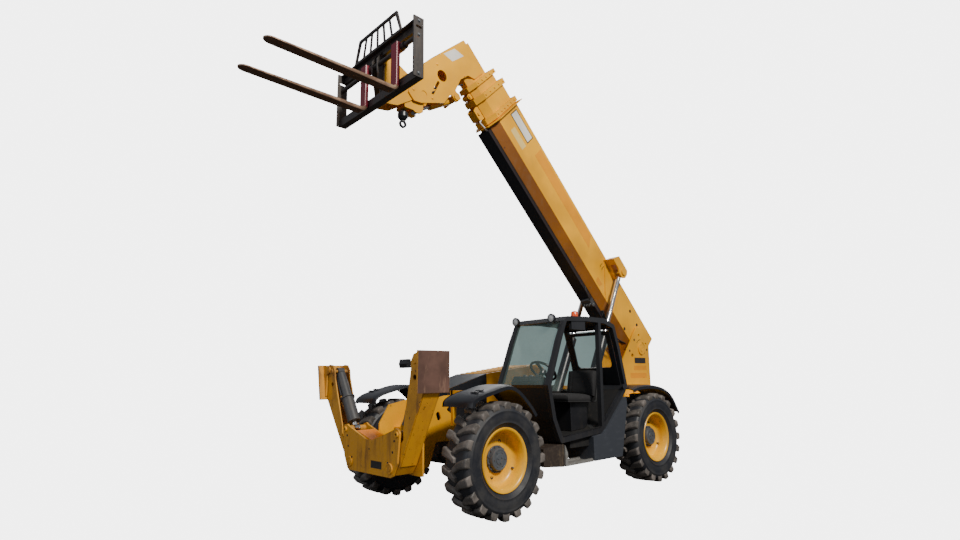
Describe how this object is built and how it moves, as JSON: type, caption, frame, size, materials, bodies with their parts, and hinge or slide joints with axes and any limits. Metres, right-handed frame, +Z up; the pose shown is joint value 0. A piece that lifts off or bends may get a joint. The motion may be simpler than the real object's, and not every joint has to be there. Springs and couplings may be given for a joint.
{
  "type": "telehandler",
  "caption": "Telescopic handler with a raised multi-section boom, pallet forks and backrest, swing-down front stabilisers, side cab and deep-lug tyres.",
  "frame": {"origin": "on the ground, under the middle of the overall length, midway between the left and right sides", "axes": "+X forwards, towards the fork tips; +Y to the machine's left; +Z up"},
  "size_m": [7.7736, 2.45, 6.5313],
  "materials": {
    "yellow": "satin, weathered",
    "black_paint": "satin",
    "dark_grey": "satin",
    "maroon": "worn",
    "steel": "worn",
    "chrome_rod": "polished",
    "tyre": "matt, dusty",
    "rim_yellow": "satin",
    "glass": "tinted",
    "plastic": "moulded",
    "seat_cloth": "woven",
    "amber": "translucent"
  },
  "bodies": {
    "chassis": {"axle_beams": "dark_grey", "battery_box": "plastic", "beacon": "amber", "boom_tower": "yellow", "cab_controls": "plastic", "cab_floor": "dark_grey", "cab_frame": "dark_grey", "cab_glass": "glass", "cab_roof": "dark_grey", "cab_step": "steel", "chassis_frame": "yellow", "counterweight": "yellow", "engine_block": "black_paint", "engine_hood": "yellow", "fenders": "black_paint", "mirror": "plastic", "roof_lamps": "plastic", "seat": "seat_cloth", "stabiliser_frame": "yellow", "tank_cladding": "plastic"},
    "boom_outer": {"boom_outer": "yellow", "hose_tray": "yellow"},
    "boom_second": {"boom_second": "yellow"},
    "boom_third": {"boom_third": "yellow"},
    "boom_nose": {"boom_nose": "yellow"},
    "carriage": {"carriage_hitch": "yellow", "fork_carriage": "dark_grey", "load_backrest": "dark_grey", "forks": "maroon", "load_hook": "black_paint"},
    "lift_barrels": {"lift_barrels": "yellow"},
    "lift_rods": {"lift_rods": "chrome_rod"},
    "tilt_barrel": {"tilt_barrel": "yellow"},
    "tilt_rod": {"tilt_rod": "chrome_rod"},
    "stabiliser_leg_left": {"stabiliser_leg_left": "yellow"},
    "stabiliser_foot_left": {"stabiliser_foot_left": "dark_grey"},
    "stabiliser_barrel_left": {"stabiliser_barrel_left": "yellow"},
    "stabiliser_rod_left": {"stabiliser_rod_left": "chrome_rod"},
    "stabiliser_leg_right": {"stabiliser_leg_right": "yellow"},
    "stabiliser_foot_right": {"stabiliser_foot_right": "dark_grey"},
    "stabiliser_barrel_right": {"stabiliser_barrel_right": "yellow"},
    "stabiliser_rod_right": {"stabiliser_rod_right": "chrome_rod"},
    "knuckle_front_left": {"knuckle_front_left": "yellow"},
    "wheel_front_left": {"rim_front_left": "rim_yellow", "tyre_front_left": "tyre"},
    "knuckle_front_right": {"knuckle_front_right": "yellow"},
    "wheel_front_right": {"rim_front_right": "rim_yellow", "tyre_front_right": "tyre"},
    "knuckle_rear_left": {"knuckle_rear_left": "yellow"},
    "wheel_rear_left": {"rim_rear_left": "rim_yellow", "tyre_rear_left": "tyre"},
    "knuckle_rear_right": {"knuckle_rear_right": "yellow"},
    "wheel_rear_right": {"rim_rear_right": "rim_yellow", "tyre_rear_right": "tyre"}
  },
  "joints": [
    {"name": "steer_front_left", "type": "hinge", "parent": "chassis", "child": "knuckle_front_left", "pos_m": [1.2111, 0.885, 0.64], "axis": [0, 0, 1], "range_deg": [-30, 30]},
    {"name": "spin_front_left", "type": "hinge", "parent": "knuckle_front_left", "child": "wheel_front_left", "pos_m": [1.2111, 1.025, 0.64], "axis": [0, 1, 0], "continuous": true},
    {"name": "steer_front_right", "type": "hinge", "parent": "chassis", "child": "knuckle_front_right", "pos_m": [1.2111, -0.885, 0.64], "axis": [0, 0, 1], "range_deg": [-30, 30]},
    {"name": "spin_front_right", "type": "hinge", "parent": "knuckle_front_right", "child": "wheel_front_right", "pos_m": [1.2111, -1.025, 0.64], "axis": [0, 1, 0], "continuous": true},
    {"name": "steer_rear_left", "type": "hinge", "parent": "chassis", "child": "knuckle_rear_left", "pos_m": [-2.0089, 0.885, 0.64], "axis": [0, 0, -1], "range_deg": [-30, 30]},
    {"name": "spin_rear_left", "type": "hinge", "parent": "knuckle_rear_left", "child": "wheel_rear_left", "pos_m": [-2.0089, 1.025, 0.64], "axis": [0, 1, 0], "continuous": true},
    {"name": "steer_rear_right", "type": "hinge", "parent": "chassis", "child": "knuckle_rear_right", "pos_m": [-2.0089, -0.885, 0.64], "axis": [0, 0, -1], "range_deg": [-30, 30]},
    {"name": "spin_rear_right", "type": "hinge", "parent": "knuckle_rear_right", "child": "wheel_rear_right", "pos_m": [-2.0089, -1.025, 0.64], "axis": [0, 1, 0], "continuous": true},
    {"name": "boom_lift", "type": "hinge", "parent": "chassis", "child": "boom_outer", "pos_m": [-3.3989, -0.05, 2.02], "axis": [0, -1, 0], "range_deg": [-45, 25]},
    {"name": "boom_extend", "type": "slide", "parent": "boom_outer", "child": "boom_second", "axis": [0.7071, 0, 0.7071], "range_m": [0, 3.3]},
    {"name": "third_extend", "type": "slide", "parent": "boom_second", "child": "boom_third", "axis": [0.7071, 0, 0.7071], "range_m": [0, 3.3]},
    {"name": "fourth_extend", "type": "slide", "parent": "boom_third", "child": "boom_nose", "axis": [0.7071, 0, 0.7071], "range_m": [0, 3.3]},
    {"name": "fork_tilt", "type": "hinge", "parent": "boom_nose", "child": "carriage", "pos_m": [1.5268, -0.05, 5.38159], "axis": [0, 1, 0], "range_deg": [-50, 65]},
    {"name": "lift_ram_swing", "type": "hinge", "parent": "chassis", "child": "lift_barrels", "pos_m": [-1.2689, -0.05, 0.6], "axis": [0, -1, 0], "range_deg": [-10.7, 6]},
    {"name": "lift_ram_extend", "type": "slide", "parent": "lift_barrels", "child": "lift_rods", "axis": [-0.4632, 0, 0.8863], "range_m": [-1.022, 0.568]},
    {"name": "tilt_ram_swing", "type": "hinge", "parent": "boom_nose", "child": "tilt_barrel", "pos_m": [0.93637, -0.05, 5.54776], "axis": [0, 1, 0], "range_deg": [-10, 13]},
    {"name": "tilt_ram_extend", "type": "slide", "parent": "tilt_barrel", "child": "tilt_rod", "axis": [0.8593, 0, -0.5115], "range_m": [-0.189, 0.146]},
    {"name": "stabiliser_left", "type": "hinge", "parent": "chassis", "child": "stabiliser_leg_left", "pos_m": [2.0636, 0.4, 0.585], "axis": [-1, 0, 0], "range_deg": [0, 92]},
    {"name": "foot_left", "type": "hinge", "parent": "stabiliser_leg_left", "child": "stabiliser_foot_left", "pos_m": [2.0636, 0.86436, 1.75994], "axis": [-1, 0, 0], "range_deg": [-20, 0]},
    {"name": "stabiliser_ram_swing_left", "type": "hinge", "parent": "stabiliser_leg_left", "child": "stabiliser_barrel_left", "pos_m": [2.0636, 0.79681, 1.72894], "axis": [-1, 0, 0], "range_deg": [0, 21.6]},
    {"name": "stabiliser_ram_extend_left", "type": "slide", "parent": "stabiliser_barrel_left", "child": "stabiliser_rod_left", "axis": [0, -0.3295, -0.9442], "range_m": [0, 0.396]},
    {"name": "stabiliser_right", "type": "hinge", "parent": "chassis", "child": "stabiliser_leg_right", "pos_m": [2.0636, -0.44, 0.585], "axis": [1, 0, 0], "range_deg": [0, 83]},
    {"name": "foot_right", "type": "hinge", "parent": "stabiliser_leg_right", "child": "stabiliser_foot_right", "pos_m": [2.0636, -1.08245, 1.67283], "axis": [1, 0, 0], "range_deg": [-20, 0]},
    {"name": "stabiliser_ram_swing_right", "type": "hinge", "parent": "stabiliser_leg_right", "child": "stabiliser_barrel_right", "pos_m": [2.0636, -1.01088, 1.65278], "axis": [1, 0, 0], "range_deg": [0, 16.9]},
    {"name": "stabiliser_ram_extend_right", "type": "slide", "parent": "stabiliser_barrel_right", "child": "stabiliser_rod_right", "axis": [0, 0.5357, -0.8444], "range_m": [0, 0.4095]}
  ],
  "couplings": [
    {"joint": "steer_front_right", "follows": "steer_front_left", "ratio": 1},
    {"joint": "steer_rear_right", "follows": "steer_rear_left", "ratio": 1},
    {"joint": "third_extend", "follows": "boom_extend", "ratio": 1},
    {"joint": "fourth_extend", "follows": "boom_extend", "ratio": 1},
    {"joint": "lift_ram_swing", "follows": "boom_lift", "ratio": 0.237},
    {"joint": "lift_ram_extend", "follows": "boom_lift", "m_per_rad": 1.3},
    {"joint": "tilt_ram_swing", "follows": "fork_tilt", "ratio": 0.19896},
    {"joint": "tilt_ram_extend", "follows": "fork_tilt", "m_per_rad": -0.16639},
    {"joint": "stabiliser_ram_swing_left", "follows": "stabiliser_left", "ratio": 0.2325},
    {"joint": "stabiliser_ram_extend_left", "follows": "stabiliser_left", "m_per_rad": 0.2462},
    {"joint": "stabiliser_ram_swing_right", "follows": "stabiliser_right", "ratio": 0.2009},
    {"joint": "stabiliser_ram_extend_right", "follows": "stabiliser_right", "m_per_rad": 0.2821}
  ]
}
